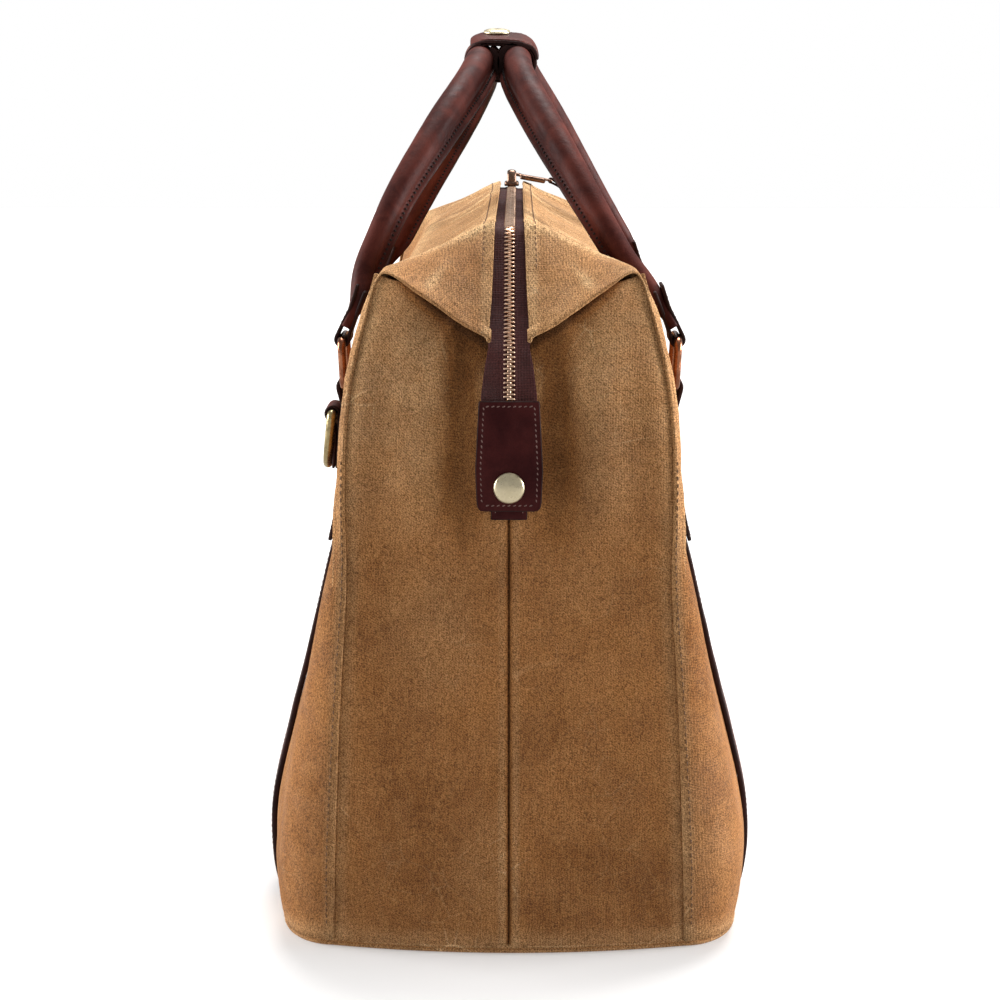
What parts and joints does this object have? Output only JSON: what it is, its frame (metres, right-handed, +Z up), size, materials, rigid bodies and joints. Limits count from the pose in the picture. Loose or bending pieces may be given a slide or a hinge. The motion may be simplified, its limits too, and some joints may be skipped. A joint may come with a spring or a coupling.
{
  "type": "weekender bag",
  "caption": "Waxed canvas weekender travel bag with a zipped top, rolled leather handles on rings, leather straps, snap end tabs and a snap handle keeper.",
  "frame": {"origin": "middle of the base, on the surface the bag stands on", "axes": "+X towards the right end, where the zip closes; -Y is the front, with the front handle; +Z up"},
  "size_m": [0.5306, 0.2576, 0.4553],
  "materials": {
    "waxed_canvas": "waxed cotton canvas with pale creases",
    "leather": "oiled burgundy-brown leather with stitched edges",
    "lining": "plain woven cotton",
    "base_board": "stiffening board",
    "zip_tape": "woven zip tape",
    "zip_metal": "aged copper-coloured zip teeth",
    "antique_brass": "antique brass, satin",
    "copper": "polished copper-coloured rings",
    "handle_core": "twisted cotton rope"
  },
  "bodies": {
    "root": {"back_chape_left": "leather", "back_chape_right": "leather", "back_d_chape": "leather", "back_ear_left": "waxed_canvas", "back_ear_right": "waxed_canvas", "back_panel": "waxed_canvas", "back_strap_left": "leather", "back_strap_right": "leather", "base_board": "base_board", "bottom_panel": "waxed_canvas", "front_chape_left": "leather", "front_chape_right": "leather", "front_d_chape": "leather", "front_ear_left": "waxed_canvas", "front_ear_right": "waxed_canvas", "front_panel": "waxed_canvas", "front_strap_left": "leather", "front_strap_right": "leather", "left_gusset_back": "waxed_canvas", "left_gusset_front": "waxed_canvas", "left_under_tab": "leather", "left_zip_end": "zip_tape", "lining": "lining", "right_gusset_back": "waxed_canvas", "right_gusset_front": "waxed_canvas", "right_under_tab": "leather", "right_zip_end": "zip_tape"},
    "front_flap": {"front_top_flap": "waxed_canvas", "front_zip_tape": "zip_tape", "front_zip_teeth": "zip_metal"},
    "front_ring_right": {"front_ring_right": "copper"},
    "front_ring_left": {"front_ring_left": "copper"},
    "front_handle": {"front_handle_grip": "leather", "front_handle_core": "handle_core", "front_handle_tab_right": "leather", "front_handle_tab_left": "leather"},
    "front_d_ring": {"front_d_ring": "antique_brass"},
    "back_flap": {"back_top_flap": "waxed_canvas", "back_zip_tape": "zip_tape", "back_zip_teeth": "zip_metal"},
    "back_ring_right": {"back_ring_right": "copper"},
    "back_ring_left": {"back_ring_left": "copper"},
    "back_handle": {"back_handle_grip": "leather", "back_handle_core": "handle_core", "back_handle_tab_right": "leather", "back_handle_tab_left": "leather", "keeper_band": "leather"},
    "back_d_ring": {"back_d_ring": "antique_brass"},
    "keeper_flap": {"keeper_flap": "leather", "keeper_snap_cap": "antique_brass"},
    "zip_slider": {"zip_slider": "antique_brass"},
    "slider_pull": {"slider_pull": "antique_brass"},
    "leather_pull": {"leather_pull": "leather"},
    "right_tab": {"right_end_tab": "leather", "right_snap_cap": "antique_brass", "right_zip_tail": "zip_tape"},
    "left_tab": {"left_end_tab": "leather", "left_snap_cap": "antique_brass", "left_zip_tail": "zip_tape"}
  },
  "joints": [
    {"name": "front_flap_hinge", "type": "hinge", "parent": "root", "child": "front_flap", "pos_m": [0, -0.05386, 0.333], "axis": [1, 0, 0], "range_deg": [0, 24]},
    {"name": "back_flap_hinge", "type": "hinge", "parent": "root", "child": "back_flap", "pos_m": [0, 0.05386, 0.333], "axis": [-1, 0, 0], "range_deg": [0, 24]},
    {"name": "zip_slide", "type": "slide", "parent": "root", "child": "zip_slider", "axis": [1, 0, 0], "range_m": [0, 0.386]},
    {"name": "pull_hinge", "type": "hinge", "parent": "zip_slider", "child": "slider_pull", "pos_m": [-0.193, 0, 0.3645], "axis": [1, 0, 0], "range_deg": [0, 125]},
    {"name": "leather_pull_hinge", "type": "hinge", "parent": "slider_pull", "child": "leather_pull", "pos_m": [-0.193, 0.02556, 0.35999], "axis": [1, 0, 0], "range_deg": [0, 60]},
    {"name": "right_tab_hinge", "type": "hinge", "parent": "root", "child": "right_tab", "pos_m": [0.249, 0, 0.2903], "axis": [0, -1, 0], "range_deg": [0, 110]},
    {"name": "left_tab_hinge", "type": "hinge", "parent": "root", "child": "left_tab", "pos_m": [-0.249, 0, 0.2903], "axis": [0, 1, 0], "range_deg": [0, 110]},
    {"name": "front_ring_right_hinge", "type": "hinge", "parent": "root", "child": "front_ring_right", "pos_m": [0.155, -0.0848, 0.2721], "axis": [1, 0, 0], "range_deg": [0, 60]},
    {"name": "front_ring_left_hinge", "type": "hinge", "parent": "root", "child": "front_ring_left", "pos_m": [-0.155, -0.0848, 0.2721], "axis": [1, 0, 0], "range_deg": [0, 60]},
    {"name": "front_handle_hinge", "type": "hinge", "parent": "front_ring_right", "child": "front_handle", "pos_m": [0.155, -0.086, 0.2959], "axis": [1, 0, 0], "range_deg": [0, 100], "deforming": ["keeper_band", "keeper_flap"]},
    {"name": "front_d_ring_hinge", "type": "hinge", "parent": "root", "child": "front_d_ring", "pos_m": [0.155, -0.0915, 0.2575], "axis": [-1, 0, 0], "range_deg": [0, 50]},
    {"name": "back_ring_right_hinge", "type": "hinge", "parent": "root", "child": "back_ring_right", "pos_m": [0.155, 0.0848, 0.2721], "axis": [-1, 0, 0], "range_deg": [0, 60]},
    {"name": "back_ring_left_hinge", "type": "hinge", "parent": "root", "child": "back_ring_left", "pos_m": [-0.155, 0.0848, 0.2721], "axis": [-1, 0, 0], "range_deg": [0, 60]},
    {"name": "back_handle_hinge", "type": "hinge", "parent": "back_ring_right", "child": "back_handle", "pos_m": [0.155, 0.086, 0.2959], "axis": [-1, 0, 0], "range_deg": [0, 100], "deforming": ["keeper_band", "keeper_flap"]},
    {"name": "back_d_ring_hinge", "type": "hinge", "parent": "root", "child": "back_d_ring", "pos_m": [-0.155, 0.0915, 0.2575], "axis": [1, 0, 0], "range_deg": [0, 50]},
    {"name": "keeper_flap_hinge", "type": "hinge", "parent": "back_handle", "child": "keeper_flap", "pos_m": [0, 0.0186, 0.4434], "axis": [-1, 0, 0], "range_deg": [0, 120]}
  ],
  "couplings": [
    {"joint": "front_ring_left_hinge", "follows": "front_ring_right_hinge", "ratio": 1},
    {"joint": "back_ring_left_hinge", "follows": "back_ring_right_hinge", "ratio": 1}
  ]
}
